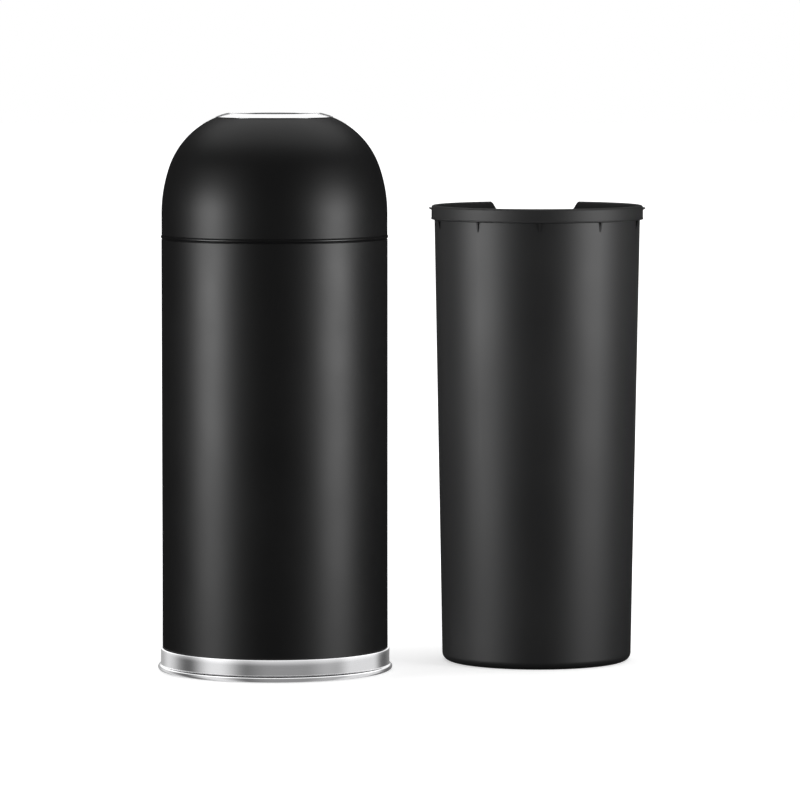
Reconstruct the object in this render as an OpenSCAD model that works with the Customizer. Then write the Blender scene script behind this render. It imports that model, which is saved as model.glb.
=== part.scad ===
// Round open-top waste bin: a steel can, a lift-off dome with an opening ring, and an inner bucket.
// The bucket stands beside the can. Millimetres, +Z up, origin on the floor at the can's axis.

/* [Can] */
// Outer radius of the can's wall
can_r = 150; // [145:0.5:160]
// Height of the can's rim above the floor
can_h = 579.6; // [480:0.1:640]
// Thickness of the painted sheet of the can and the dome
sheet_t = 0.6; // [0.5:0.05:0.75]
// Height of the rounded hem at the rim
hem_h = 3.8; // [3:0.1:6]
// How far the hem's round stands out from the wall
hem_out = 0.7; // [0.5:0.05:0.9]
// Depth of the groove rolled into the wall under the hem
groove_d = 0.85; // [0.4:0.05:0.9]
// Radius at the bottom of that groove
groove_r = 0.4; // [0.3:0.05:0.6]
// Radius of the groove's lower edge
groove_edge_r = 0.8; // [0.75:0.05:1]

/* [Base ring] */
// Height of the bright band's top edge above the floor
band_h = 31; // [24:0.5:45]
// How far the band stands out from the can's wall
band_out = 2.3; // [1.8:0.1:2.6]
// Thickness of the stainless sheet of the base ring
band_t = 0.8; // [0.6:0.05:0.9]
// Radius of the band's top edge where it turns in to the wall
band_turn_r = 1.7; // [1.2:0.1:1.7]
// Radius of the rolled bead at the floor
bead_r = 4; // [3.6:0.1:4.5]
// How far the bead stands out from the can's wall
bead_out = 6.2; // [5.5:0.1:6.5]
// Radius of the fillet between band and bead
bead_fillet_r = 1; // [0.5:0.1:1.5]
// Height of the bead above the floor
bead_lift = 1; // [0.5:0.1:2]
// Turn left open between the rolled bead's end and the fillet, in degrees
bead_open = 26; // [24:1:60]

/* [Bottom plate] */
// Thickness of the pressed bottom plate
plate_t = 0.8; // [0.6:0.05:1]
// Height of the plate's upturned flange
flange_h = 13; // [8:0.5:20]
// Radius of the bend at the flange
flange_bend_r = 3; // [2:0.1:4]
// Distance of the raised middle's edge in from the can's outer wall; the bucket stands on it
platform_inset = 40; // [39:0.5:46]
// Rise of that middle above the outer channel
platform_rise = 5; // [4.6:0.1:8]
// Slope of the step round the raised middle, in degrees
platform_slope = 60; // [50:1:75]
// Radius of the bends at the step
platform_bend_r = 1.5; // [1.2:0.1:2]

/* [Feet] */
// Height of the rubber feet
foot_h = 13; // [12.5:0.1:18]
// Radius of a foot at its top
foot_r = 11.5; // [10:0.1:12]
// Radius of a foot at the floor
foot_floor_r = 10.5; // [9:0.1:11]
// Distance of a foot's centre in from the can's outer wall
foot_inset = 21; // [20:0.5:22]
// Depth of the pocket for the screw head
pocket_d = 5; // [4:0.1:7]
// Radius of that pocket
pocket_r = 5.2; // [4.8:0.1:6]

/* [Foot screws] */
// Shank radius of the screws
screw_r = 2; // [1.5:0.05:2.2]
// Radius of the screw heads
screw_head_r = 4; // [3.6:0.1:4.5]
// Height of the screw heads
screw_head_h = 2.6; // [2:0.1:3.2]
// Width across the flats of the nuts
nut_w = 7; // [6:0.1:8]
// Height of the nuts
nut_h = 3.2; // [2.4:0.1:3.4]
// How far a screw stands out of its nut
screw_end = 0.8; // [0.3:0.1:1]

/* [Dome] */
// How far the dome's wall is set in from the can's wall
dome_inset = 0.2; // [0:0.05:0.5]
// Height of the dome's straight wall above its lower edge
dome_wall_h = 28.4; // [20:0.1:60]
// Radius of the shoulder's curve above the straight wall
shoulder_r = 189; // [150:1:230]
// Turn of the shoulder before the crown begins, in degrees
shoulder_turn = 19.3; // [14:0.1:26]
// Radius of the crown's curve
crown_r = 108.4; // [98:0.1:112]

/* [Dome collar] */
// Height of the collar welded inside the dome, above the dome's lower edge
collar_up = 17; // [12:0.5:19]
// Depth that the collar reaches below the dome's lower edge
collar_down = 24; // [15:0.5:40]
// Thickness of the collar
collar_t = 0.6; // [0.5:0.05:0.8]
// How far the collar's lower edge turns in as a lead
collar_lead = 1; // [0.4:0.1:1.2]
// Height of that lead
collar_lead_h = 3; // [2:0.5:6]

/* [Opening ring] */
// Clear radius of the opening
opening_r = 61.2; // [56:0.1:68]
// Outer radius of the ring's bright flange
ring_r = 77.8; // [74:0.1:86]
// Thickness of the ring's stainless sheet
ring_t = 0.8; // [0.6:0.05:0.9]
// Radius of the ring's bend into the opening
ring_bend_r = 2.2; // [2:0.1:3]
// Depth of the dome's neck that turns down inside the opening
neck_h = 10; // [6:0.5:20]
// How far the ring's clinched lip reaches under that neck
lip_w = 2; // [1.5:0.1:3]

/* [Bucket] */
// Height of the bucket
bucket_h = 615; // [520:0.5:620]
// Outer radius of the bucket's wall carried down to the floor
bucket_foot_r = 127.2; // [122:0.1:129]
// Outer radius of the wall carried up to the rim
bucket_top_r = 138.6; // [136:0.1:139.2]
// Wall thickness of the bucket
bucket_wall_t = 2.2; // [1.8:0.1:2.5]
// Thickness of the bucket's floor
bucket_floor_t = 2.8; // [2.2:0.1:4]
// Radius of the bottom corner
bucket_corner_r = 10.8; // [6:0.1:16]
// Inner radius of the bucket's foot ring
bucket_recess_r = 100; // [90:0.5:103]
// Depth of the recess inside the foot ring
bucket_recess_d = 1.2; // [0.6:0.1:1.6]
// Where the bucket stands, to the right of the can's axis
bucket_x = 351; // [330:1:420]
// Where the bucket stands, behind the can's axis
bucket_y = 111; // [0:1:160]

/* [Bucket rim] */
// Radius of the rolled-over rim
rim_r = 3; // [2.8:0.1:3.4]
// Height of the rim's hanging skirt, measured from the top of the rim
skirt_h = 19; // [17:0.5:26]
// Height of the bead along the skirt's lower edge
skirt_bead_h = 2.7; // [2:0.1:3.5]
// How far that bead stands out
skirt_bead_out = 0.5; // [0.3:0.1:0.8]
// Number of gusset ribs between wall and skirt
rib_count = 10; // [6:1:16]
// Width of a rib
rib_w = 4.4; // [2:0.1:6]
// How far a rib runs down below the skirt
rib_drop = 10; // [5:0.5:20]

/* [Bucket lugs] */
// How far the two side lugs stand out from the skirt
lug_out = 3.6; // [2:0.1:3.9]
// Length of a lug along the skirt
lug_l = 52; // [30:1:80]
// Thickness of the lugs
lug_t = 1.3; // [1:0.1:1.8]
// Depth of the lugs' lowest line below the top of the rim
lug_drop = 5.8; // [4.6:0.1:7]
// Radius of the lugs' upward curve
lug_curve_r = 4.3; // [4.2:0.1:6]

/* [Handhold] */
// Width of the handhold notch across its mouth
notch_w = 120; // [90:1:130]
// Width of the notch across its bottom
notch_bottom_w = 97; // [70:1:105]
// Depth of the notch
notch_d = 15; // [10:0.5:15.5]
// Radius of the notch's upper corners
notch_top_r = 3; // [1:0.5:5]
// Radius of the notch's lower corners
notch_low_r = 6; // [3:0.5:8]

/* [Clearances] */
// Gap between a piece and the one that it is welded, pressed or clinched to
weld_gap = 0.05; // [0.02:0.01:0.1]
// Gap at rest between the dome's edge and the can's rim
seat_gap = 0.3; // [0.2:0.05:0.4]
// Radial gap between the collar and the tightest place of the can's mouth
collar_gap = 0.35; // [0.3:0.05:0.6]
// Radial gap round a screw in its holes
screw_gap = 0.25; // [0.1:0.05:0.4]

/* [Hidden] */
$fn = 144;
arc_step = 10;
arc_chord = 3;
over = 1;

can_in_r = can_r - sheet_t;
hem_r = (pow(hem_h / 2, 2) + pow(hem_out, 2)) / (2 * hem_out);
hem_c = [can_r + hem_out - hem_r, can_h - hem_h / 2];
bead_c = [can_r + bead_out - bead_r, bead_lift + bead_r];
wall_foot_z = bead_lift + 2 * bead_r;

plate_r = can_in_r - weld_gap;
platform_r = can_r - platform_inset;
foot_count = 4;
foot_turn = 45;
foot_ring_r = can_r - foot_inset;

dome_r = can_r - dome_inset;
dome_in_r = dome_r - sheet_t;
dome_edge_z = can_h + seat_gap;
shoulder_c = [dome_r - shoulder_r, dome_edge_z + dome_wall_h];
crown_c = polar(shoulder_c, shoulder_r - crown_r, shoulder_turn);
collar_r = can_in_r - groove_d - collar_gap;

ring_out_r = crown_r + weld_gap + ring_t;
throat_turn = acos((opening_r + ring_bend_r - crown_c[0]) / (ring_out_r - ring_bend_r));
throat_c = polar(crown_c, ring_out_r - ring_bend_r, throat_turn);
neck_z = throat_c[1] - neck_h;

draft = atan((bucket_top_r - bucket_foot_r) / bucket_h);
corner_c = [bucket_foot_r - bucket_corner_r * (1 - sin(draft)) / cos(draft), bucket_corner_r];
slot_r = rim_r - bucket_wall_t;
rim_c = [wall_r_at(bucket_h - rim_r) - bucket_wall_t / cos(draft) + rim_r, bucket_h - rim_r];
skirt_r = rim_c[0] + rim_r;
skirt_z = bucket_h - skirt_h;

// A point at a radius and an angle round a centre
function polar(c, r, a) = c + r * [cos(a), sin(a)];

// Points along an arc round c, close enough together for its radius
function arc(c, r, a0, a1) =
    let (n = ceil(abs(a1 - a0) * max(1 / arc_step, r * PI / 180 / arc_chord)))
    [for (i = [0 : n]) polar(c, r, a0 + (a1 - a0) * i / n)];

// A bend of sheet as points of its outer face with their normals; side is -1 where the face is hollow
function bend(c, r, a0, a1, side = 1) = [for (p = arc(c, r, a0, a1)) [p, side * (p - c) / r]];

// The other face of a sheet, from its far end back
function back(face, t) = [for (i = [len(face) - 1 : -1 : 0]) face[i][0] - t * face[i][1]];

// Outer radius of the bucket's drafted wall at a height
function wall_r_at(z) = bucket_foot_r + (bucket_top_r - bucket_foot_r) * z / bucket_h;

// Half profile of a sheet of even thickness behind its outer face
module sheet(face, t) {
    polygon(concat([for (f = face) f[0]], back(face, t)));
}

module at_feet() {
    for (i = [0 : foot_count - 1])
        rotate(foot_turn + i * 360 / foot_count) translate([foot_ring_r, 0, 0]) children();
}

// Rolled sheet with a groove under a hem that is folded outward and rounded
module can_wall() {
    groove_x = can_r - groove_d + groove_r;
    hem_turn = acos((groove_x - hem_c[0]) / (hem_r + groove_r));
    groove_c = polar(hem_c, hem_r + groove_r, -hem_turn);
    edge_turn = acos(1 - groove_d / (groove_edge_r + groove_r));
    edge_c = polar(groove_c, groove_edge_r + groove_r, 180 + edge_turn);
    // The lip's radius is the one that meets the hem's round, the rim's top and the inner face
    reach = can_in_r - hem_c[0];
    low = hem_h / 2;
    sum = reach - low + hem_r;
    lip_r = sqrt(pow(sum, 2) + pow(hem_r, 2) - pow(reach, 2) - pow(low, 2)) - sum;
    lip_c = [can_in_r + lip_r, can_h - lip_r];
    lip_turn = atan2(lip_c[1] - hem_c[1], lip_c[0] - hem_c[0]);
    inside_turn = acos((can_in_r - hem_c[0]) / (hem_r - sheet_t));
    face = concat(
        [[[can_r, wall_foot_z], [1, 0]]],
        bend(edge_c, groove_edge_r, 0, edge_turn),
        bend(groove_c, groove_r, 180 + edge_turn, 180 - hem_turn, -1)
    );
    color([0.055, 0.055, 0.06]) rotate_extrude() polygon(concat(
        [for (f = face) f[0]],
        arc(hem_c, hem_r, -hem_turn, lip_turn),
        arc(lip_c, lip_r, lip_turn, 180),
        [polar(hem_c, hem_r - sheet_t, -inside_turn)],
        back(face, sheet_t)
    ));
}

// Pressed pan: a raised middle, a channel for the feet and a flange welded inside the wall
module bottom_plate() {
    channel_z = foot_h + plate_t;
    middle_z = channel_z + platform_rise;
    hollow_r = platform_bend_r - plate_t / 2;
    bends_r = platform_bend_r + hollow_r;
    slope_h = platform_rise - bends_r * (1 - cos(platform_slope));
    channel_r = platform_r + bends_r * sin(platform_slope) + slope_h / tan(platform_slope);
    face = concat(
        [[[0, middle_z], [0, 1]]],
        bend([platform_r, middle_z - platform_bend_r], platform_bend_r, 90, 90 - platform_slope),
        bend([channel_r, channel_z + hollow_r], hollow_r, 270 - platform_slope, 270, -1),
        bend([plate_r - plate_t - flange_bend_r, channel_z + flange_bend_r], flange_bend_r, 270, 360, -1),
        [[[plate_r - plate_t, foot_h + flange_h], [-1, 0]]]
    );
    color([0.07, 0.07, 0.075]) difference() {
        rotate_extrude() sheet(face, plate_t);
        at_feet() translate([0, 0, foot_h - over]) cylinder(r = screw_r + screw_gap, h = plate_t + 2 * over);
    }
}

// Stainless ring: a band with its top edge turned in, and a bead rolled at the floor
module base_ring() {
    band_r = can_r + band_out;
    fillet_x = band_r + bead_fillet_r - bead_c[0];
    fillet_turn = acos(fillet_x / (bead_r + bead_fillet_r));
    fillet_c = polar(bead_c, bead_r + bead_fillet_r, fillet_turn);
    face = concat(
        [[[can_r + weld_gap, band_h], [0, 1]]],
        bend([band_r - band_turn_r, band_h - band_turn_r], band_turn_r, 90, 0),
        bend(fillet_c, bead_fillet_r, 180, 180 + fillet_turn, -1),
        bend(bead_c, bead_r, fillet_turn, fillet_turn + bead_open - 360)
    );
    color([0.8, 0.8, 0.81])
        rotate_extrude() sheet(face, band_t);
}

// Rubber foot under the plate's channel, with a pocket for its screw head
module foot(i) {
    color([0.03, 0.03, 0.03])
        rotate(foot_turn + (i - 1) * 360 / foot_count) translate([foot_ring_r, 0, 0]) difference() {
            cylinder(r1 = foot_floor_r, r2 = foot_r, h = foot_h - weld_gap);
            translate([0, 0, -over]) cylinder(r = pocket_r, h = pocket_d + over);
            cylinder(r = screw_r + screw_gap, h = foot_h);
        }
}

module foot_screws() {
    screw_top = foot_h + plate_t + nut_h + screw_end;
    head_z = pocket_d - weld_gap;
    recess_w = screw_head_r / 5;
    recess_l = screw_head_r * 1.1;
    recess_d = screw_head_h * 0.6;
    color([0.62, 0.62, 0.64]) at_feet() difference() {
        union() {
            translate([0, 0, head_z - screw_head_h]) cylinder(r = screw_head_r, h = screw_head_h);
            translate([0, 0, head_z - over]) cylinder(r = screw_r, h = screw_top - head_z + over);
        }
        for (a = [0, 90])
            rotate(a) translate([-recess_l / 2, -recess_w / 2, head_z - screw_head_h - over])
                cube([recess_l, recess_w, recess_d + over]);
    }
}

module foot_nuts() {
    color([0.62, 0.62, 0.64]) at_feet() translate([0, 0, foot_h + plate_t + weld_gap]) difference() {
        cylinder(d = nut_w / cos(30), h = nut_h, $fn = 6);
        translate([0, 0, -over]) cylinder(r = screw_r + weld_gap, h = nut_h + 2 * over);
    }
}

// Spun sheet: a straight wall, a wide shoulder, a tighter crown and a neck turned down into the opening
module dome() {
    throat_bend_r = ring_bend_r - ring_t - weld_gap;
    face = concat(
        bend([dome_in_r, dome_edge_z + sheet_t], sheet_t, -90, 0),
        bend(shoulder_c, shoulder_r, 0, shoulder_turn),
        bend(crown_c, crown_r, shoulder_turn, throat_turn),
        bend(throat_c, throat_bend_r, throat_turn, 180),
        [[[throat_c[0] - throat_bend_r, neck_z], [-1, 0]]]
    );
    color([0.055, 0.055, 0.06])
        rotate_extrude() sheet(face, sheet_t);
}

// Welded inside the dome's wall and stepped in to slip into the can's mouth
module dome_collar() {
    weld_r = dome_in_r - weld_gap;
    step_h = 3;
    low_z = dome_edge_z - collar_down;
    face = [
        [weld_r, dome_edge_z + collar_up], [weld_r, dome_edge_z + step_h], [collar_r, dome_edge_z - seat_gap],
        [collar_r, low_z + collar_lead_h], [collar_r - collar_lead, low_z],
    ];
    color([0.07, 0.07, 0.075])
        rotate_extrude() sheet([for (p = face) [p, [1, 0]]], collar_t);
}

// Stainless ring over the crown, bent down through the opening and clinched under the dome's neck
module opening_ring() {
    edge_turn = acos((ring_r - crown_c[0]) / ring_out_r);
    lip_c = [opening_r + ring_t, neck_z - weld_gap];
    face = concat(
        bend(crown_c, ring_out_r, edge_turn, throat_turn),
        bend(throat_c, ring_bend_r, throat_turn, 180),
        bend(lip_c, ring_t, 180, 270),
        [[lip_c + [lip_w, -ring_t], [0, -1]]]
    );
    color([0.85, 0.85, 0.86])
        rotate_extrude() sheet(face, ring_t);
}

// Drafted wall on a foot ring, rolled over at the rim into a skirt with a bead along its lower edge
module bucket_body() {
    inner_c = corner_c + (bucket_floor_t - bucket_wall_t) * [tan(draft), 1];
    bead = skirt_bead_h / 2;
    skirt_bead_c = [skirt_r + skirt_bead_out - bead, skirt_z + bead];
    rotate_extrude() polygon(concat(
        [[0, bucket_recess_d], [bucket_recess_r, bucket_recess_d], [bucket_recess_r, 0]],
        arc(corner_c, bucket_corner_r, -90, -draft),
        arc(rim_c, slot_r, 180, 0),
        [[rim_c[0] + slot_r, skirt_z]],
        arc(skirt_bead_c, bead, -90, acos(1 - skirt_bead_out / bead)),
        arc(rim_c, rim_r, 0, 180),
        arc(inner_c, bucket_corner_r - bucket_wall_t, -draft, -90),
        [[0, bucket_floor_t]]
    ));
}

// Gusset between wall and skirt, which runs out down the wall
module rib() {
    inside = bucket_wall_t / 2;
    tip_z = skirt_z - rib_drop;
    top_z = rim_c[1] + rim_r / 2;
    rotate([90, 0, 0]) translate([0, 0, -rib_w / 2]) linear_extrude(rib_w) polygon([
        [wall_r_at(tip_z) - inside, tip_z], [wall_r_at(tip_z), tip_z],
        [skirt_r - inside, skirt_z + skirt_bead_h / 2], [skirt_r - inside, top_z],
        [wall_r_at(top_z) - inside, top_z],
    ]);
}

// Thin crescent that curves up and outward, to centre the bucket in the dome
module lug() {
    reach = skirt_r + lug_out;
    sagitta = reach - sqrt(pow(skirt_r, 2) - pow(lug_l / 2, 2));
    plan_r = (pow(lug_l / 2, 2) + pow(sagitta, 2)) / (2 * sagitta);
    curve_c = [skirt_r, bucket_h - lug_drop + lug_curve_r];
    sweep = 2 * asin(lug_l / skirt_r);
    intersection() {
        rotate_extrude(angle = sweep, start = -sweep / 2)
            sheet(bend(curve_c, lug_curve_r, -110, asin(lug_out / lug_curve_r) - 90), lug_t);
        translate([reach - plan_r, 0, skirt_z]) cylinder(r = plan_r, h = skirt_h);
    }
}

// Outline of the handhold seen from the front, grown by a margin
module notch_outline(margin) {
    low_z = bucket_h - notch_d;
    lean = atan((notch_w - notch_bottom_w) / 2 / notch_d);
    rise = notch_top_r / 8;
    low_c = [0, low_z - margin + notch_low_r];
    top_c = [0, bucket_h + rise - notch_top_r];
    side_x = notch_bottom_w / 2 + margin / cos(lean);
    low_x = side_x + (low_c[1] - low_z) * tan(lean) - notch_low_r / cos(lean);
    top_x = side_x + (top_c[1] - low_z) * tan(lean) + notch_top_r / cos(lean);
    half = concat(
        arc(low_c + [low_x, 0], notch_low_r, -90, -lean),
        arc(top_c + [top_x, 0], notch_top_r, 180 - lean, 90),
        [[top_x, bucket_h + skirt_h]]
    );
    polygon(concat(half, [for (i = [len(half) - 1 : -1 : 0]) [-half[i][0], half[i][1]]]));
}

// The handhold's outline carried through the rear wall
module notch_block(margin) {
    translate([0, skirt_r + 2 * over, 0]) rotate([90, 0, 0])
        linear_extrude(skirt_r / 2) notch_outline(margin);
}

// Closes the hollow between wall and skirt along the handhold's edge
module notch_frame() {
    inside = bucket_wall_t / 2;
    low_z = skirt_z + skirt_bead_h / 2;
    intersection() {
        rotate_extrude() translate([wall_r_at(rim_c[1]) - inside, low_z])
            square([skirt_r - wall_r_at(rim_c[1]), rim_c[1] + rim_r / 2 - low_z]);
        notch_block(bucket_wall_t);
    }
}

module inner_bucket() {
    color([0.07, 0.07, 0.075]) translate([bucket_x, bucket_y, 0]) difference() {
        union() {
            bucket_body();
            for (i = [0 : rib_count - 1])
                rotate(-90 + i * 360 / rib_count) rib();
            notch_frame();
            for (a = [0, 180])
                rotate(a) lug();
        }
        notch_block(0);
    }
}

can_wall();
bottom_plate();
base_ring();
foot(1);  // foot_1
foot(2);  // foot_2
foot(3);  // foot_3
foot(4);  // foot_4
foot_screws();
foot_nuts();
dome();
dome_collar();
opening_ring();
inner_bucket();
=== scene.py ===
"""Looks of the round waste bin and its inner bucket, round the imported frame."""

import math

import bmesh
import bpy
from mathutils import Matrix, Vector


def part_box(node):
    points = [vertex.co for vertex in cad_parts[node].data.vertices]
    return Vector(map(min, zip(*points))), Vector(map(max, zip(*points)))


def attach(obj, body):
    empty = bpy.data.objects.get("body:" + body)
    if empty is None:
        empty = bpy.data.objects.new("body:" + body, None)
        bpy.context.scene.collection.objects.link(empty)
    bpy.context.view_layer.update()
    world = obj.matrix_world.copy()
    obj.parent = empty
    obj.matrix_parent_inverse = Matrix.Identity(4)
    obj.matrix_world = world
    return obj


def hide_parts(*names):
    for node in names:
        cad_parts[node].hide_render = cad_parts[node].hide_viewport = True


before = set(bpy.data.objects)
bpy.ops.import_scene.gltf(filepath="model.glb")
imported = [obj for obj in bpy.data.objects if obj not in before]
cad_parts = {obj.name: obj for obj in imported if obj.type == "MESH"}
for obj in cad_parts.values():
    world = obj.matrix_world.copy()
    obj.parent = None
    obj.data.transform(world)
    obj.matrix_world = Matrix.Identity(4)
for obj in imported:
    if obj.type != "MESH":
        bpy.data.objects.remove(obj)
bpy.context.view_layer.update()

MM = 0.001

# The photograph's camera, in metres: beside the can's axis, in front of it and above the floor
VIEW_SIDE = 0.1664
VIEW_DISTANCE = 7.45
VIEW_HEIGHT = 0.907
AIM_HEIGHT = 0.360
LENS_MM = 252.9
SENSOR_MM = 36.0

# Sides round an axis, and the step along a bend in degrees and along a wide curve in millimetres
AROUND = 240
BEND_STEP = 6.0
CURVE_CHORD = 4.0

# An edge that turns by more than this stays sharp
CREASE = math.radians(32)

# Points that lie closer than this, in metres, are one
WELD = 1e-7

# Sheet steel, in millimetres
SHEET_T = 0.6
HEM_H = 3.8
HEM_OUT = 0.7
GROOVE_D = 0.85
GROOVE_R = 0.4
GROOVE_EDGE_R = 0.8

# Dome, in millimetres and degrees
DOME_WALL_H = 28.4
SHOULDER_R = 189.0
SHOULDER_TURN = 19.3
CROWN_R = 108.4
WELD_GAP = 0.05
NECK_H = 10.0

# Rings, in millimetres and degrees
RING_T = 0.8
OPENING_R = 61.2
RING_BEND_R = 2.2
LIP_W = 2.0
BAND_OUT = 2.3
BAND_TURN_R = 1.7
BEAD_R = 4.0
BEAD_OUT = 6.2
BEAD_FILLET_R = 1.0
BEAD_OPEN = 26.0

# Inner bucket, in millimetres and degrees
BUCKET_FOOT_R = 127.2
BUCKET_TOP_R = 138.6
BUCKET_WALL_T = 2.2
BUCKET_FLOOR_T = 2.8
BUCKET_CORNER_R = 10.8
RECESS_R = 100.0
RECESS_D = 1.2
GATE_R = 5.0
GATE_H = 0.6
RIM_R = 3.0
SKIRT_H = 19.0
SKIRT_BEAD_H = 2.7
SKIRT_BEAD_OUT = 0.5
RIB_COUNT = 10
RIB_W = 2.6
RIB_DROP = 13.0
LUG_OUT = 3.6
LUG_L = 52.0
LUG_T = 1.3
LUG_DROP = 5.8
LUG_CURVE_R = 4.3
LUG_START = -110
LUG_STEPS = 36
NOTCH_W = 117.4
NOTCH_BOTTOM_W = 99.8
NOTCH_D = 15.0
NOTCH_TOP_R = 9.0
NOTCH_TOP_RISE = 1.125
NOTCH_LOW_R = 6.0
NOTCH_PAST_SKIRT = 2


# Shapes

def polar(centre, radius, degrees):
    angle = math.radians(degrees)
    return (centre[0] + radius * math.cos(angle), centre[1] + radius * math.sin(angle))


def arc(centre, radius, start, end):
    """Points along an arc, with shorter steps on a wider curve."""
    step = min(BEND_STEP, math.degrees(CURVE_CHORD / radius))
    count = max(1, math.ceil(abs(end - start) / step))
    return [polar(centre, radius, start + (end - start) * i / count) for i in range(count + 1)]


def bend(centre, radius, start, end, side=1):
    """A bend of a sheet's face as points with normals; side is -1 where the face is hollow."""
    return [
        (p, (side * (p[0] - centre[0]) / radius, side * (p[1] - centre[1]) / radius))
        for p in arc(centre, radius, start, end)
    ]


def sheet(face, thickness):
    """The closed outline of a sheet behind its outer face."""
    back = [(p[0] - thickness * n[0], p[1] - thickness * n[1]) for p, n in reversed(face)]
    return [p for p, n in face] + back


def box_mm(name):
    """A CAD node's box in millimetres."""
    low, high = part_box(name)
    return low / MM, high / MM


def bucket_axis():
    """Where the bucket's upright axis stands, as x and y in metres."""
    low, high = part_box("inner_bucket")
    return (low.x + high.x) / 2, (low.y + high.y) / 2


def turn(bm, degrees):
    matrix = Matrix.Rotation(math.radians(degrees), 3, "Z")
    bmesh.ops.rotate(bm, cent=(0, 0, 0), matrix=matrix, verts=bm.verts)
    return bm


def shift(bm, x=0.0, y=0.0, z=0.0):
    bmesh.ops.translate(bm, verts=bm.verts, vec=(x * MM, y * MM, z * MM))
    return bm


def spin_profile(outline, sweep=360.0, steps=AROUND):
    """Spins a half profile of radius and height round the upright axis into a closed bmesh."""
    bm = bmesh.new()
    verts = [bm.verts.new((r * MM, 0, z * MM)) for r, z in outline]
    on_axis = outline[0][0] == 0 and outline[-1][0] == 0
    ends = verts[1:] if on_axis else verts[1:] + verts[:1]
    edges = [bm.edges.new(pair) for pair in zip(verts, ends)]
    full = sweep == 360.0
    if not full:
        turn(bm, -sweep / 2)
    bmesh.ops.spin(
        bm, geom=verts + edges, cent=(0, 0, 0), axis=(0, 0, 1), dvec=(0, 0, 0),
        angle=math.radians(sweep), steps=steps, use_merge=full, use_duplicate=False,
    )
    bmesh.ops.remove_doubles(bm, verts=bm.verts, dist=WELD)
    if not full:
        bmesh.ops.holes_fill(bm, edges=[e for e in bm.edges if e.is_boundary], sides=0)
    bmesh.ops.recalc_face_normals(bm, faces=bm.faces)
    return bm


def extrude_outline(outline, depth):
    """Raises an outline of x and z, in millimetres, along Y into a closed bmesh centred on Y."""
    bm = bmesh.new()
    verts = [bm.verts.new((x * MM, -depth * MM / 2, z * MM)) for x, z in outline]
    face = bm.faces.new(verts)
    grown = bmesh.ops.extrude_face_region(bm, geom=[face])
    moved = [v for v in grown["geom"] if isinstance(v, bmesh.types.BMVert)]
    bmesh.ops.translate(bm, verts=moved, vec=(0, depth * MM, 0))
    bmesh.ops.recalc_face_normals(bm, faces=bm.faces)
    return bm


def piece_from(name, *shapes):
    """One object that holds the given bmeshes, which it frees."""
    mesh = bpy.data.meshes.new(name)
    whole = bmesh.new()
    for bm in shapes:
        bm.to_mesh(mesh)
        bm.free()
        whole.from_mesh(mesh)
    whole.to_mesh(mesh)
    whole.free()
    piece = bpy.data.objects.new(name, mesh)
    bpy.context.scene.collection.objects.link(piece)
    return piece


def apply_modifiers(piece):
    graph = bpy.context.evaluated_depsgraph_get()
    made = bpy.data.meshes.new_from_object(piece.evaluated_get(graph))
    piece.modifiers.clear()
    piece.data = made


def combine(piece, operation, tool):
    """Adds another solid to a piece, cuts it out or keeps what both share, and removes that solid."""
    modifier = piece.modifiers.new(operation, "BOOLEAN")
    modifier.operation = operation
    modifier.solver = "EXACT"
    modifier.object = tool
    apply_modifiers(piece)
    bpy.data.objects.remove(tool)


def dress(piece, body, slot, material, *nodes):
    """Shades a piece, gives it its finish and lets it stand for its CAD nodes on a body."""
    piece.data.shade_smooth()
    piece.data.set_sharp_from_angle(angle=CREASE)
    piece.data.materials.clear()
    piece.data.materials.append(material)
    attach(piece, body)
    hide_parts(*nodes)


# Materials

# Each finish drifts between a darker and a paler colour, and between two roughnesses
COAT_COLOURS = ((0.0021, 0.0021, 0.0023), (0.0028, 0.0028, 0.0030))
COAT_MATT = (0.44, 0.48)
STEEL_COLOURS = ((0.70, 0.70, 0.71), (0.80, 0.80, 0.81))
STEEL_MATT = (0.11, 0.18)
PLASTIC_COLOURS = ((0.0045, 0.0045, 0.0048), (0.0056, 0.0056, 0.0060))
PLASTIC_MATT = (0.48, 0.53)
RUBBER_COLOURS = ((0.014, 0.014, 0.014), (0.022, 0.022, 0.022))
RUBBER_MATT = (0.75, 0.9)
ZINC_COLOURS = ((0.50, 0.50, 0.53), (0.66, 0.66, 0.68))
ZINC_MATT = (0.28, 0.42)

# Scales of grain and drift: a higher one is finer
COAT_PEEL = 420.0
COAT_DRIFT = 9.0
BRUSH_ACROSS = 900.0
BRUSH_ALONG = 3.0
PLASTIC_GRAIN = 900.0
PLASTIC_DRIFT = 7.0
RUBBER_GRAIN = 1500.0
RUBBER_DRIFT = 60.0
ZINC_MOTTLE = 700.0

# Share of its roughness that the hem keeps, and roughness added inside the bucket and on its skirt
HEM_POLISH = 0.75
INSIDE_DULL = 0.3
SKIRT_DULL = 0.06


def node(tree, kind, inputs=None, **settings):
    """A new shader node. An input is a value, or another node's output to link."""
    made = tree.nodes.new("ShaderNode" + kind)
    for key, value in settings.items():
        setattr(made, key, value)
    for key, value in (inputs or {}).items():
        if isinstance(value, bpy.types.NodeSocket):
            tree.links.new(value, made.inputs[key])
        else:
            made.inputs[key].default_value = value
    return made


def new_material(name):
    material = bpy.data.materials.new(name)
    material.use_nodes = True
    material.node_tree.nodes.clear()
    return material, material.node_tree


def math_node(tree, operation, a, b=0.0, c=0.0):
    return node(tree, "Math", {0: a, 1: b, 2: c}, operation=operation).outputs[0]


def noise(tree, vector, scale, detail=2.0, roughness=0.5):
    made = node(
        tree, "TexNoise",
        {"Vector": vector, "Scale": scale, "Detail": detail, "Roughness": roughness},
    )
    return made.outputs["Fac"]


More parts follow.
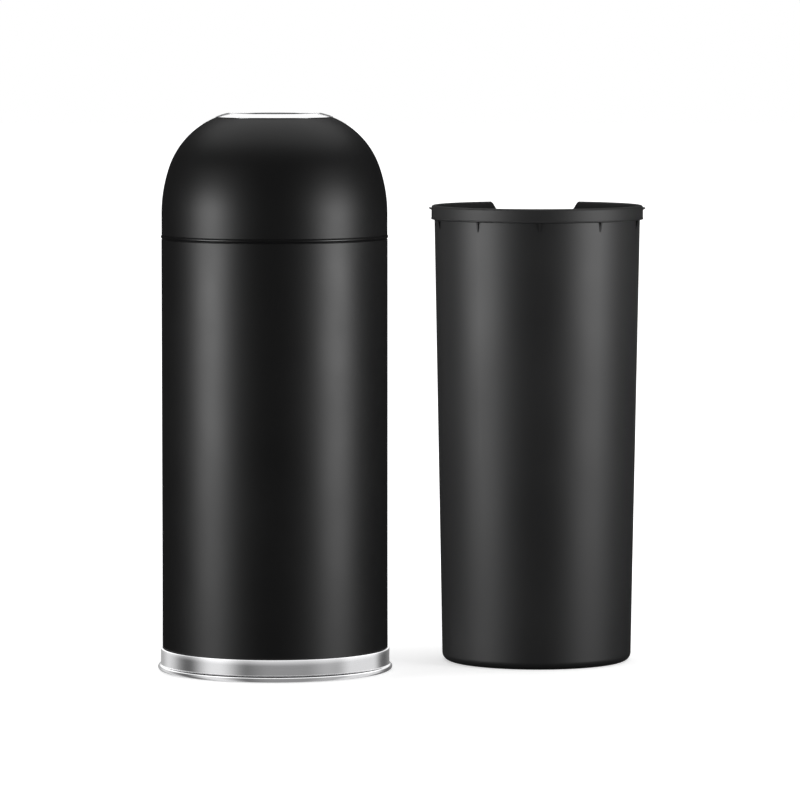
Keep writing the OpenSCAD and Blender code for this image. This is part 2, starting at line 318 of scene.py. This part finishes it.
def spread(tree, value, low, high, low_in=0.3, high_in=0.7):
    """Carries a range of values, by itself a noise's middle one, over to another range."""
    made = node(
        tree, "MapRange",
        {"Value": value, "From Min": low_in, "From Max": high_in, "To Min": low, "To Max": high},
    )
    return made.outputs["Result"]


def grey_mix(tree, factor, low, high):
    made = node(tree, "Mix", {"Factor": factor}, data_type="RGBA")
    made.inputs["A"].default_value = (*low, 1)
    made.inputs["B"].default_value = (*high, 1)
    return made.outputs["Result"]


def object_coords(tree):
    return node(tree, "TexCoord").outputs["Object"]


def separate(tree, vector):
    """A vector's x, y and z."""
    return node(tree, "SeparateXYZ", {0: vector}).outputs


def axis_distance(tree, x, y, axis_x=0.0, axis_y=0.0):
    """How far a place is from an upright axis."""
    off = node(tree, "CombineXYZ", {
        0: math_node(tree, "SUBTRACT", x, axis_x),
        1: math_node(tree, "SUBTRACT", y, axis_y),
    })
    return node(tree, "VectorMath", {0: off.outputs[0]}, operation="LENGTH").outputs["Value"]


def relief(tree, height, strength, depth):
    """The normal of a bumpy face, with the bumps' depth in metres."""
    return node(tree, "Bump", {"Height": height, "Strength": strength, "Distance": depth}).outputs[0]


def principled(tree, inputs):
    shader = node(tree, "BsdfPrincipled", inputs)
    node(tree, "OutputMaterial", {"Surface": shader.outputs[0]})


def powder_coat():
    """Satin black powder coat: a fine orange peel, a drift of gloss and a hem rubbed smoother."""
    material, tree = new_material("satin_black_coat")
    place = object_coords(tree)
    peel = noise(tree, place, COAT_PEEL, 2.0, 0.45)
    drift = noise(tree, place, COAT_DRIFT, 3.0, 0.55)
    height = separate(tree, place)[2]
    hem_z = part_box("can_wall")[1].z - HEM_H * MM / 2
    off = math_node(tree, "ABSOLUTE", math_node(tree, "SUBTRACT", height, hem_z))
    rubbed = spread(tree, off, HEM_POLISH, 1.0, HEM_H * MM / 3, HEM_H * MM / 2)
    principled(tree, {
        "Base Color": grey_mix(tree, drift, *COAT_COLOURS),
        "Roughness": math_node(tree, "MULTIPLY", spread(tree, drift, *COAT_MATT), rubbed),
        "Specular IOR Level": 0.5,
        "Normal": relief(tree, peel, 0.12, 0.0002),
    })
    return material


def bright_steel():
    """Rolled stainless steel with a fine brush that runs round the ring."""
    material, tree = new_material("brushed_bright_steel")
    x, y, z = separate(tree, object_coords(tree))
    radius = axis_distance(tree, x, y)
    lines = node(tree, "CombineXYZ", {
        0: math_node(tree, "DIVIDE", x, radius),
        1: math_node(tree, "DIVIDE", y, radius),
        2: math_node(tree, "MULTIPLY", math_node(tree, "ADD", z, radius), BRUSH_ACROSS),
    })
    brush = noise(tree, lines.outputs[0], BRUSH_ALONG, 3.0, 0.6)
    tangent = node(tree, "Tangent", direction_type="RADIAL", axis="Z")
    principled(tree, {
        "Base Color": grey_mix(tree, brush, *STEEL_COLOURS),
        "Metallic": 1.0,
        "Roughness": spread(tree, brush, *STEEL_MATT),
        "Anisotropic": 0.6,
        "Tangent": tangent.outputs[0],
        "Normal": relief(tree, brush, 0.08, 0.00005),
    })
    return material


def bucket_plastic():
    """Satin black polypropylene with the fine grain of its mould, duller inside and on the skirt."""
    material, tree = new_material("moulded_black_plastic")
    place = object_coords(tree)
    grain = noise(tree, place, PLASTIC_GRAIN, 2.0, 0.5)
    drift = noise(tree, place, PLASTIC_DRIFT, 2.0, 0.5)
    x, y, z = separate(tree, place)
    slope = (BUCKET_TOP_R - BUCKET_FOOT_R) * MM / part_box("inner_bucket")[1].z
    wall = math_node(tree, "MULTIPLY_ADD", z, slope, BUCKET_FOOT_R * MM)
    depth = math_node(tree, "SUBTRACT", wall, axis_distance(tree, x, y, *bucket_axis()))
    above_corner = math_node(tree, "GREATER_THAN", z, BUCKET_CORNER_R * MM)
    inner_face = spread(tree, depth, 0.0, INSIDE_DULL, BUCKET_WALL_T * MM / 2, BUCKET_WALL_T * MM)
    inside = math_node(tree, "MULTIPLY", inner_face, above_corner)
    skirt = spread(tree, depth, SKIRT_DULL, 0.0, -RIM_R * MM, -RIM_R * MM / 2)
    duller = math_node(tree, "ADD", inside, skirt)
    principled(tree, {
        "Base Color": grey_mix(tree, drift, *PLASTIC_COLOURS),
        "Roughness": math_node(tree, "ADD", spread(tree, drift, *PLASTIC_MATT), duller),
        "Specular IOR Level": 0.5,
        "Normal": relief(tree, grain, 0.15, 0.0001),
    })
    return material


def foot_rubber():
    """Dull black rubber with a moulded grain."""
    material, tree = new_material("dull_rubber")
    place = object_coords(tree)
    grain = noise(tree, place, RUBBER_GRAIN, 2.0, 0.6)
    principled(tree, {
        "Base Color": grey_mix(tree, noise(tree, place, RUBBER_DRIFT), *RUBBER_COLOURS),
        "Roughness": spread(tree, grain, *RUBBER_MATT),
        "Specular IOR Level": 0.3,
        "Normal": relief(tree, grain, 0.3, 0.0001),
    })
    return material


def zinc_steel():
    """Zinc plate with its faint crystal mottle."""
    material, tree = new_material("zinc_plate")
    mottle = noise(tree, object_coords(tree), ZINC_MOTTLE, 3.0, 0.6)
    principled(tree, {
        "Base Color": grey_mix(tree, mottle, *ZINC_COLOURS),
        "Metallic": 1.0,
        "Roughness": spread(tree, mottle, *ZINC_MATT),
        "Normal": relief(tree, mottle, 0.1, 0.00005),
    })
    return material


# Steel pieces

def can_shell(material):
    """Rolled wall with a groove under a hem that is folded outward and rounded."""
    low, high = box_mm("can_wall")
    hem_r = ((HEM_H / 2) ** 2 + HEM_OUT ** 2) / (2 * HEM_OUT)
    wall_r = box_mm("base_ring")[1].x - BEAD_OUT
    inner_r = wall_r - SHEET_T
    hem = (wall_r + HEM_OUT - hem_r, high.z - HEM_H / 2)
    # The groove's round touches the hem's, and the round of its lower edge touches it and the wall
    groove_x = wall_r - GROOVE_D + GROOVE_R
    hem_turn = math.degrees(math.acos((groove_x - hem[0]) / (hem_r + GROOVE_R)))
    groove = polar(hem, hem_r + GROOVE_R, -hem_turn)
    edge_turn = math.degrees(math.acos(1 - GROOVE_D / (GROOVE_EDGE_R + GROOVE_R)))
    edge = polar(groove, GROOVE_EDGE_R + GROOVE_R, 180 + edge_turn)
    # The lip's round touches the wall's inside, the rim's height and the hem's round
    reach = inner_r - hem[0]
    total = reach - HEM_H / 2 + hem_r
    lip_r = math.sqrt(total ** 2 + hem_r ** 2 - reach ** 2 - (HEM_H / 2) ** 2) - total
    lip = (inner_r + lip_r, high.z - lip_r)
    lip_turn = math.degrees(math.atan2(lip[1] - hem[1], lip[0] - hem[0]))
    inside_turn = math.degrees(math.acos(reach / (hem_r - SHEET_T)))
    face = [((wall_r, low.z), (1, 0))]
    face += bend(edge, GROOVE_EDGE_R, 0, edge_turn)
    face += bend(groove, GROOVE_R, 180 + edge_turn, 180 - hem_turn, -1)
    outline = [p for p, n in face]
    outline += arc(hem, hem_r, -hem_turn, lip_turn)[1:]
    outline += arc(lip, lip_r, lip_turn, 180)[1:]
    outline += [polar(hem, hem_r - SHEET_T, -inside_turn)]
    outline += [(p[0] - SHEET_T * n[0], p[1] - SHEET_T * n[1]) for p, n in reversed(face)]
    piece = piece_from("can_shell", spin_profile(outline))
    dress(piece, "can", "black_coat", material, "can_wall")


def dome_centres():
    """The centres of the dome's shoulder and crown, as radius and height."""
    low, high = box_mm("dome")
    shoulder = (high.x - SHOULDER_R, low.z + DOME_WALL_H)
    return shoulder, polar(shoulder, SHOULDER_R - CROWN_R, SHOULDER_TURN)


def throat():
    """Where the opening's bend begins on the crown, and the bend's centre."""
    crown = dome_centres()[1]
    reach = CROWN_R + WELD_GAP + RING_T - RING_BEND_R
    start = math.degrees(math.acos((OPENING_R + RING_BEND_R - crown[0]) / reach))
    return start, polar(crown, reach, start)


def dome_shell(material):
    """Spun dome: straight wall, wide shoulder, tighter crown and a neck down into the opening."""
    low, high = box_mm("dome")
    shoulder, crown = dome_centres()
    start, centre = throat()
    bend_r = RING_BEND_R - RING_T - WELD_GAP
    face = bend((high.x - SHEET_T, low.z + SHEET_T), SHEET_T, -90, 0)
    face += bend(shoulder, SHOULDER_R, 0, SHOULDER_TURN)
    face += bend(crown, CROWN_R, SHOULDER_TURN, start)[1:]
    face += bend(centre, bend_r, start, 180)[1:]
    face += [((centre[0] - bend_r, centre[1] - NECK_H), (-1, 0))]
    piece = piece_from("dome_shell", spin_profile(sheet(face, SHEET_T)))
    dress(piece, "lid", "black_coat", material, "dome")


def opening_trim(material):
    """Bright ring over the crown, bent down through the opening and clinched under the neck."""
    high = box_mm("opening_ring")[1]
    crown = dome_centres()[1]
    start, centre = throat()
    outer = CROWN_R + WELD_GAP + RING_T
    edge = math.degrees(math.acos((high.x - crown[0]) / outer))
    lip = (OPENING_R + RING_T, centre[1] - NECK_H - WELD_GAP)
    face = bend(crown, outer, edge, start)
    face += bend(centre, RING_BEND_R, start, 180)[1:]
    face += bend(lip, RING_T, 180, 270)
    face += [((lip[0] + LIP_W, lip[1] - RING_T), (0, -1))]
    piece = piece_from("opening_trim", spin_profile(sheet(face, RING_T)))
    dress(piece, "lid", "bright_steel", material, "opening_ring")
    return piece


def base_trim(material):
    """Bright ring: a band with its top edge turned in, and a bead rolled at the floor."""
    low, high = box_mm("base_ring")
    bead = (high.x - BEAD_R, low.z + BEAD_R)
    wall_r = high.x - BEAD_OUT
    band_r = wall_r + BAND_OUT
    reach = BEAD_R + BEAD_FILLET_R
    fillet_turn = math.degrees(math.acos((band_r + BEAD_FILLET_R - bead[0]) / reach))
    fillet = polar(bead, reach, fillet_turn)
    face = [((wall_r + WELD_GAP, high.z), (0, 1))]
    face += bend((band_r - BAND_TURN_R, high.z - BAND_TURN_R), BAND_TURN_R, 90, 0)
    face += bend(fillet, BEAD_FILLET_R, 180, 180 + fillet_turn, -1)
    face += bend(bead, BEAD_R, fillet_turn, fillet_turn + BEAD_OPEN - 360)[1:]
    piece = piece_from("base_trim", spin_profile(sheet(face, RING_T)))
    dress(piece, "can", "bright_steel", material, "base_ring")
    return piece


# Inner bucket

def bucket_wall_r(z, height):
    return BUCKET_FOOT_R + (BUCKET_TOP_R - BUCKET_FOOT_R) * z / height


def rim_centre(height):
    """The centre of the rolled rim over the drafted wall, as radius and height."""
    slope = math.hypot(1, (BUCKET_TOP_R - BUCKET_FOOT_R) / height)
    z = height - RIM_R
    return (bucket_wall_r(z, height) - BUCKET_WALL_T * slope + RIM_R, z)


def bucket_body(height):
    """Spun profile that runs out under the floor, up over the rim and down to the floor inside."""
    tilt = math.atan((BUCKET_TOP_R - BUCKET_FOOT_R) / height)
    draft = math.degrees(tilt)
    corner_r = BUCKET_FOOT_R - BUCKET_CORNER_R * (1 - math.sin(tilt)) / math.cos(tilt)
    corner = (corner_r, BUCKET_CORNER_R)
    rise = BUCKET_FLOOR_T - BUCKET_WALL_T
    inner = (corner[0] + rise * math.tan(tilt), corner[1] + rise)
    rim = rim_centre(height)
    slot_r = RIM_R - BUCKET_WALL_T
    bead_r = SKIRT_BEAD_H / 2
    bead = (rim[0] + RIM_R + SKIRT_BEAD_OUT - bead_r, height - SKIRT_H + bead_r)
    bead_top = math.degrees(math.acos(1 - SKIRT_BEAD_OUT / bead_r))
    outline = [(0, RECESS_D - GATE_H), (GATE_R, RECESS_D - GATE_H), (GATE_R, RECESS_D)]
    outline += [(RECESS_R, RECESS_D), (RECESS_R, 0)]
    outline += arc(corner, BUCKET_CORNER_R, -90, -draft)
    outline += arc(rim, slot_r, 180, 0)
    outline += [(rim[0] + slot_r, height - SKIRT_H)]
    outline += arc(bead, bead_r, -90, bead_top)
    outline += arc(rim, RIM_R, 0, 180)
    outline += arc(inner, BUCKET_CORNER_R - BUCKET_WALL_T, -draft, -90)
    outline += [(0, BUCKET_FLOOR_T)]
    return spin_profile(outline)


def rib(height, degrees):
    """Gusset rooted in wall and skirt, which runs out down the wall."""
    root = BUCKET_WALL_T / 2
    rim = rim_centre(height)
    skirt_r = rim[0] + RIM_R
    skirt_z = height - SKIRT_H
    tip_z = skirt_z - RIB_DROP
    top_z = rim[1] + RIM_R / 2
    outline = [
        (bucket_wall_r(tip_z, height) - root, tip_z),
        (bucket_wall_r(tip_z, height), tip_z),
        (skirt_r - root, skirt_z + SKIRT_BEAD_H / 2),
        (skirt_r - root, top_z),
        (bucket_wall_r(top_z, height) - root, top_z),
    ]
    return turn(extrude_outline(outline, RIB_W), degrees)


def lug(height, degrees):
    """Thin crescent at the rim's side that curves up and outward."""
    skirt_r = rim_centre(height)[0] + RIM_R
    reach = skirt_r + LUG_OUT
    sagitta = reach - math.sqrt(skirt_r ** 2 - (LUG_L / 2) ** 2)
    plan_r = ((LUG_L / 2) ** 2 + sagitta ** 2) / (2 * sagitta)
    curve = (skirt_r, height - LUG_DROP + LUG_CURVE_R)
    sweep = math.degrees(2 * math.asin(LUG_L / skirt_r))
    end = math.degrees(math.asin(LUG_OUT / LUG_CURVE_R)) - 90
    face = bend(curve, LUG_CURVE_R, LUG_START, end)
    blade = piece_from("lug", spin_profile(sheet(face, LUG_T), sweep, LUG_STEPS))
    plan = bmesh.new()
    bmesh.ops.create_cone(
        plan, cap_ends=True, segments=AROUND, radius1=plan_r * MM, radius2=plan_r * MM,
        depth=2 * SKIRT_H * MM,
    )
    combine(blade, "INTERSECT", piece_from("plan", shift(plan, reach - plan_r, 0, height)))
    bm = bmesh.new()
    bm.from_mesh(blade.data)
    bpy.data.objects.remove(blade)
    return turn(bm, degrees)


def notch_block(height, margin=0.0):
    """The handhold's outline carried through the rear wall, grown by a margin."""
    skirt_r = rim_centre(height)[0] + RIM_R
    low_z = height - NOTCH_D
    lean = math.atan((NOTCH_W - NOTCH_BOTTOM_W) / 2 / NOTCH_D)
    degrees = math.degrees(lean)
    low_c = low_z - margin + NOTCH_LOW_R
    top_c = height + NOTCH_TOP_RISE - NOTCH_TOP_R
    side_x = NOTCH_BOTTOM_W / 2 + margin / math.cos(lean)
    low_x = side_x + (low_c - low_z) * math.tan(lean) - NOTCH_LOW_R / math.cos(lean)
    top_x = side_x + (top_c - low_z) * math.tan(lean) + NOTCH_TOP_R / math.cos(lean)
    half = arc((low_x, low_c), NOTCH_LOW_R, -90, -degrees)
    half += arc((top_x, top_c), NOTCH_TOP_R, 180 - degrees, 90)
    half += [(top_x, height + SKIRT_H)]
    outline = half + [(-x, z) for x, z in reversed(half)]
    depth = skirt_r / 2
    return shift(extrude_outline(outline, depth), y=skirt_r + NOTCH_PAST_SKIRT - depth / 2)


def notch_frame(height):
    """Closes the hollow between wall and skirt along the handhold's edge."""
    rim = rim_centre(height)
    skirt_r = rim[0] + RIM_R
    low_z = height - SKIRT_H + SKIRT_BEAD_H / 2
    top_z = rim[1] + RIM_R / 2
    inner_r = bucket_wall_r(rim[1], height) - BUCKET_WALL_T / 2
    outer_r = skirt_r - BUCKET_WALL_T / 2
    ring = [(inner_r, low_z), (outer_r, low_z), (outer_r, top_z), (inner_r, top_z)]
    closing = piece_from("notch_frame", spin_profile(ring))
    combine(closing, "INTERSECT", piece_from("notch_zone", notch_block(height, BUCKET_WALL_T)))
    return closing


def bucket(material):
    """Drafted bucket with its rolled rim, gussets, side lugs and handhold."""
    low, high = box_mm("inner_bucket")
    height = high.z - low.z
    piece = piece_from("bucket", bucket_body(height))
    ribs = [rib(height, -90 + i * 360 / RIB_COUNT) for i in range(RIB_COUNT)]
    combine(piece, "UNION", piece_from("ribs", *ribs))
    combine(piece, "UNION", piece_from("lugs", lug(height, 0), lug(height, 180)))
    combine(piece, "UNION", notch_frame(height))
    combine(piece, "DIFFERENCE", piece_from("notch", notch_block(height)))
    piece.data.transform(Matrix.Translation((*bucket_axis(), 0)))
    dress(piece, "bucket", "bucket_plastic", material, "inner_bucket")
    return piece


# Studio

# Floor: its side, where its shadow starts to fade and where it has gone, in metres, then levels
FLOOR_SIDE = 60.0
SHADOW_NEAR = 0.5
SHADOW_FAR = 1.5
FLOOR_GLOW = 0.55
FLOOR_COLOUR = 0.8

# Levels of the fill, and of the room and the backdrop that gloss mirrors
FILL = 0.45
ROOM = 0.02
BACKDROP = 0.3

# How squarely a ray points to the rear where the backdrop begins, and where it is full
BACKDROP_START = 0.985
BACKDROP_FULL = 0.998

# Lamps at one height in metres: one over and behind both pieces, and one over the bucket's rim
LAMP_H = 2.9
TOP_AT = (0.05, 1.2)
TOP_SIZE = (4.8, 3.9)
TOP_GLOW = 0.65
RIM_LIGHT_SIZE = (2.4, 1.6)
RIM_GLOW = 2.5

# Strip lamps to both sides, at one distance in metres: direction from the camera's side in
# degrees, height, width and length in metres, and glow
STRIP_DISTANCE = 2.8
STRIP = (64.3, 0.55, 1.2, 0.74, 15.2)
BUCKET_STRIP = (65.0, 0.60, 1.8, 0.7, 16.5)
BUCKET_SIDE = (118.0, 0.7, 2.4, 1.6, 0.25)

# Panels that only the opening ring mirrors, at one distance in metres: direction from the camera's
# side, rise, width and height in degrees, and glow
PANEL_DISTANCE = 2.4
OPENING_PANELS = [
    (180, 33, 70, 36, 1.3), (180, 75, 60, 48, 1.0), (108, 38, 60, 46, 0.6), (-108, 38, 60, 46, 0.6),
    (0, 56, 70, 36, 0.2), (0, 19, 90, 38, 0.08),
]

# Lit wall that only the base ring mirrors, white over a row of soft cards: metres, then levels
WALL_R = 0.19
WALL_LOW = -0.05
WALL_HIGH = 0.062
WHITE_START = 0.020
WHITE_END = 0.032
WALL_ROOM = 0.13
WHITE_GLOW = 1.05

# Its cards: direction from the camera's side, width and soft edge in degrees, and glow
RING_CARDS = [
    (-100, 44, 24, 0.34), (-82, 24, 20, 0.43), (-36.5, 24, 20, 0.84), (8, 40, 24, 0.2),
    (55, 56, 18, 0.36), (63.5, 35, 12, 0.40), (120, 30, 16, 0.12), (152, 34, 20, 0.75),
    (-150, 30, 20, 0.22),
]


def light_rays(tree):
    """Light Path's outputs by name."""
    return node(tree, "LightPath").outputs


def make_world():
    """White to the camera, a plain level of fill, and a pale backdrop in a dim room to gloss."""
    world = bpy.data.worlds.new("studio")
    bpy.context.scene.world = world
    world.use_nodes = True
    tree = world.node_tree
    tree.nodes.clear()
    rays = light_rays(tree)
    rearward = separate(tree, node(tree, "TexCoord").outputs["Generated"])[1]
    backdrop = spread(tree, rearward, ROOM, BACKDROP, BACKDROP_START, BACKDROP_FULL)
    gloss = math_node(tree, "MAXIMUM", rays["Is Glossy Ray"], rays["Is Transmission Ray"])
    level = node(tree, "Mix", {"Factor": gloss, "A": FILL, "B": backdrop}).outputs["Result"]
    level = node(tree, "Mix", {"Factor": rays["Is Camera Ray"], "A": level, "B": 1.0}).outputs["Result"]
    ground = node(tree, "Background", {"Color": (1, 1, 1, 1), "Strength": level})
    node(tree, "OutputWorld", {"Surface": ground.outputs[0]})


def make_floor():
    """Pale floor that fades to plain white away from the shadow, and that gloss sees through."""
    material, tree = new_material("pale_floor")
    x, y, _ = separate(tree, object_coords(tree))
    far = axis_distance(tree, x, y, VIEW_SIDE)
    fade = spread(tree, far, 0.0, 1.0, SHADOW_NEAR, SHADOW_FAR)
    rays = light_rays(tree)
    glow = node(tree, "Mix", {"Factor": fade, "A": FLOOR_GLOW, "B": 1.0}).outputs["Result"]
    seen = math_node(tree, "MULTIPLY", glow, rays["Is Camera Ray"])
    emission = node(tree, "Emission", {"Strength": seen}).outputs[0]
    matt = node(tree, "BsdfDiffuse", {"Color": (FLOOR_COLOUR, FLOOR_COLOUR, FLOOR_COLOUR, 1)}).outputs[0]
    both = node(tree, "AddShader", {0: emission, 1: matt}).outputs[0]
    clear = node(tree, "BsdfTransparent").outputs[0]
    mixed = node(tree, "MixShader", {0: rays["Is Glossy Ray"], 1: both, 2: clear}).outputs[0]
    node(tree, "OutputMaterial", {"Surface": mixed})
    bm = bmesh.new()
    bmesh.ops.create_grid(bm, x_segments=1, y_segments=1, size=FLOOR_SIDE / 2)
    floor = piece_from("floor", bm)
    floor.data.materials.append(material)


def softbox(name, place, aim, width, height, glow, shape="RECTANGLE"):
    """A soft flat lamp. Its glow is the brightness of its face, where 1 is white."""
    data = bpy.data.lights.new(name, "AREA")
    data.shape = shape
    data.size, data.size_y = width, height
    data.energy = glow * math.pi * width * height
    lamp = bpy.data.objects.new(name, data)
    lamp.location = place
    lamp.rotation_euler = (Vector(aim) - Vector(place)).to_track_quat("-Z", "Y").to_euler()
    lamp.visible_camera = False
    bpy.context.scene.collection.objects.link(lamp)
    return lamp


def strips(name, axis_x, strip):
    """Two lamps to both sides of an axis."""
    direction, z, width, length, glow = strip
    azimuth = math.radians(direction)
    reach = STRIP_DISTANCE * math.sin(azimuth)
    y = -STRIP_DISTANCE * math.cos(azimuth)
    return [
        softbox(f"{name}_{i + 1}", (axis_x + side * reach, y, z), (axis_x, 0, z), width, length, glow)
        for i, side in enumerate((-1, 1))
    ]


def light_group(name, pieces, state):
    """A collection that names pieces to a lamp, as lit by it or as left out."""
    group = bpy.data.collections.new(name)
    for piece in pieces:
        group.objects.link(piece)
    for link in group.collection_objects:
        link.light_linking.link_state = state
    return group


def ring_wall_light():
    """See-through light: white along the top, and soft cards below it that are set by direction."""
    material, tree = new_material("ring_wall_light")
    x, y, z = separate(tree, object_coords(tree))
    side = math_node(tree, "ARCTAN2", x, math_node(tree, "MULTIPLY", y, -1.0))
    white = spread(tree, z, 0.0, WHITE_GLOW, WHITE_START, WHITE_END)
    glow = math_node(tree, "ADD", white, WALL_ROOM)
    for direction, width, soft, level in RING_CARDS:
        off = math_node(tree, "SUBTRACT", side, math.radians(direction))
        off = math_node(tree, "ABSOLUTE", math_node(tree, "WRAP", off, math.pi, -math.pi))
        outer = math.radians(width + soft) / 2
        inner = math.radians(width - soft) / 2
        card = node(tree, "MapRange", {
            "Value": off, "From Min": outer, "From Max": inner, "To Min": 0.0, "To Max": level,
        }, interpolation_type="SMOOTHSTEP")
        glow = math_node(tree, "ADD", glow, card.outputs["Result"])
    emission = node(tree, "Emission", {"Strength": glow}).outputs[0]
    clear = node(tree, "BsdfTransparent").outputs[0]
    both = node(tree, "AddShader", {0: emission, 1: clear}).outputs[0]
    node(tree, "OutputMaterial", {"Surface": both})
    return material


def make_ring_wall(base_piece):
    """An open round wall of light, which gives the base ring its bright and dark reflections."""
    side_wall = bmesh.new()
    bmesh.ops.create_cone(
        side_wall, cap_ends=False, segments=AROUND, radius1=WALL_R, radius2=WALL_R,
        depth=WALL_HIGH - WALL_LOW,
    )
    shift(side_wall, z=(WALL_HIGH + WALL_LOW) / 2 / MM)
    bottom = bmesh.new()
    bmesh.ops.create_circle(bottom, cap_ends=True, segments=AROUND, radius=WALL_R)
    wall = piece_from("ring_wall", side_wall, shift(bottom, z=WALL_LOW / MM))
    wall.data.materials.append(ring_wall_light())
    wall.visible_camera = False
    wall.visible_diffuse = False
    wall.visible_shadow = False
    wall.light_linking.receiver_collection = light_group("only_base", [base_piece], "INCLUDE")


def make_opening_panels(opening_piece):
    """Panels round and over the opening ring, brightest at the back, which give it its bright face."""
    centre = Vector((0, 0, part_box("opening_ring")[1].z))
    only_opening = light_group("only_opening", [opening_piece], "INCLUDE")
    for i, (side, rise, width, height, glow) in enumerate(OPENING_PANELS):
        lifted = Matrix.Rotation(-math.radians(rise), 3, "X")
        turned = Matrix.Rotation(math.radians(side), 3, "Z")
        place = centre + turned @ lifted @ Vector((0, -PANEL_DISTANCE, 0))
        size = [2 * PANEL_DISTANCE * math.tan(math.radians(span) / 2) for span in (width, height)]
        panel = softbox(f"opening_panel_{i + 1}", place, centre, *size, glow)
        panel.light_linking.receiver_collection = only_opening


def make_lights(bucket_piece, opening_piece, base_piece):
    """An overhead and a pair of strips for the black pieces.

    The bucket has its own two pairs, which the can doesn't shade, and a light over its rim.
    The bright rings mirror their own lights.
    """
    rings = [opening_piece, base_piece]
    top = softbox("overhead", (*TOP_AT, LAMP_H), (*TOP_AT, 0), *TOP_SIZE, TOP_GLOW, "ELLIPSE")
    top.light_linking.receiver_collection = light_group("all_but_rings", rings, "EXCLUDE")
    others = light_group("can_and_floor", rings + [bucket_piece], "EXCLUDE")
    for lamp in strips("strip", 0, STRIP):
        lamp.light_linking.receiver_collection = others
    only_bucket = light_group("only_bucket", [bucket_piece], "INCLUDE")
    axis_x = bucket_axis()[0]
    rim_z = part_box("inner_bucket")[1].z
    pairs = strips("bucket_strip", axis_x, BUCKET_STRIP) + strips("bucket_side", axis_x, BUCKET_SIDE)
    for lamp in pairs:
        lamp.light_linking.receiver_collection = only_bucket
        lamp.light_linking.blocker_collection = only_bucket
        lamp.data.cycles.use_multiple_importance_sampling = False
    rim = softbox("rim_light", (axis_x, 0, LAMP_H), (axis_x, 0, rim_z), *RIM_LIGHT_SIZE, RIM_GLOW)
    rim.light_linking.receiver_collection = only_bucket
    make_opening_panels(opening_piece)
    make_ring_wall(base_piece)


def make_camera():
    data = bpy.data.cameras.new("camera")
    data.lens = LENS_MM
    data.sensor_width = SENSOR_MM
    camera = bpy.data.objects.new("camera", data)
    camera.location = (VIEW_SIDE, -VIEW_DISTANCE, VIEW_HEIGHT)
    aim = Vector((VIEW_SIDE, 0, AIM_HEIGHT)) - camera.location
    camera.rotation_euler = aim.to_track_quat("-Z", "Y").to_euler()
    bpy.context.scene.collection.objects.link(camera)
    bpy.context.scene.camera = camera


def paint(material, *nodes):
    """Gives CAD nodes that show as they are a finish."""
    for name in nodes:
        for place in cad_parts[name].material_slots:
            place.material = material


bpy.context.scene.view_settings.view_transform = "Standard"
make_camera()
make_world()
make_floor()

coat = powder_coat()
steel = bright_steel()
plastic = bucket_plastic()
can_shell(coat)
dome_shell(coat)
opening_piece = opening_trim(steel)
base_piece = base_trim(steel)
bucket_piece = bucket(plastic)
make_lights(bucket_piece, opening_piece, base_piece)
paint(coat, "bottom_plate", "dome_collar")
paint(foot_rubber(), "foot_1", "foot_2", "foot_3", "foot_4")
paint(zinc_steel(), "foot_screws", "foot_nuts")
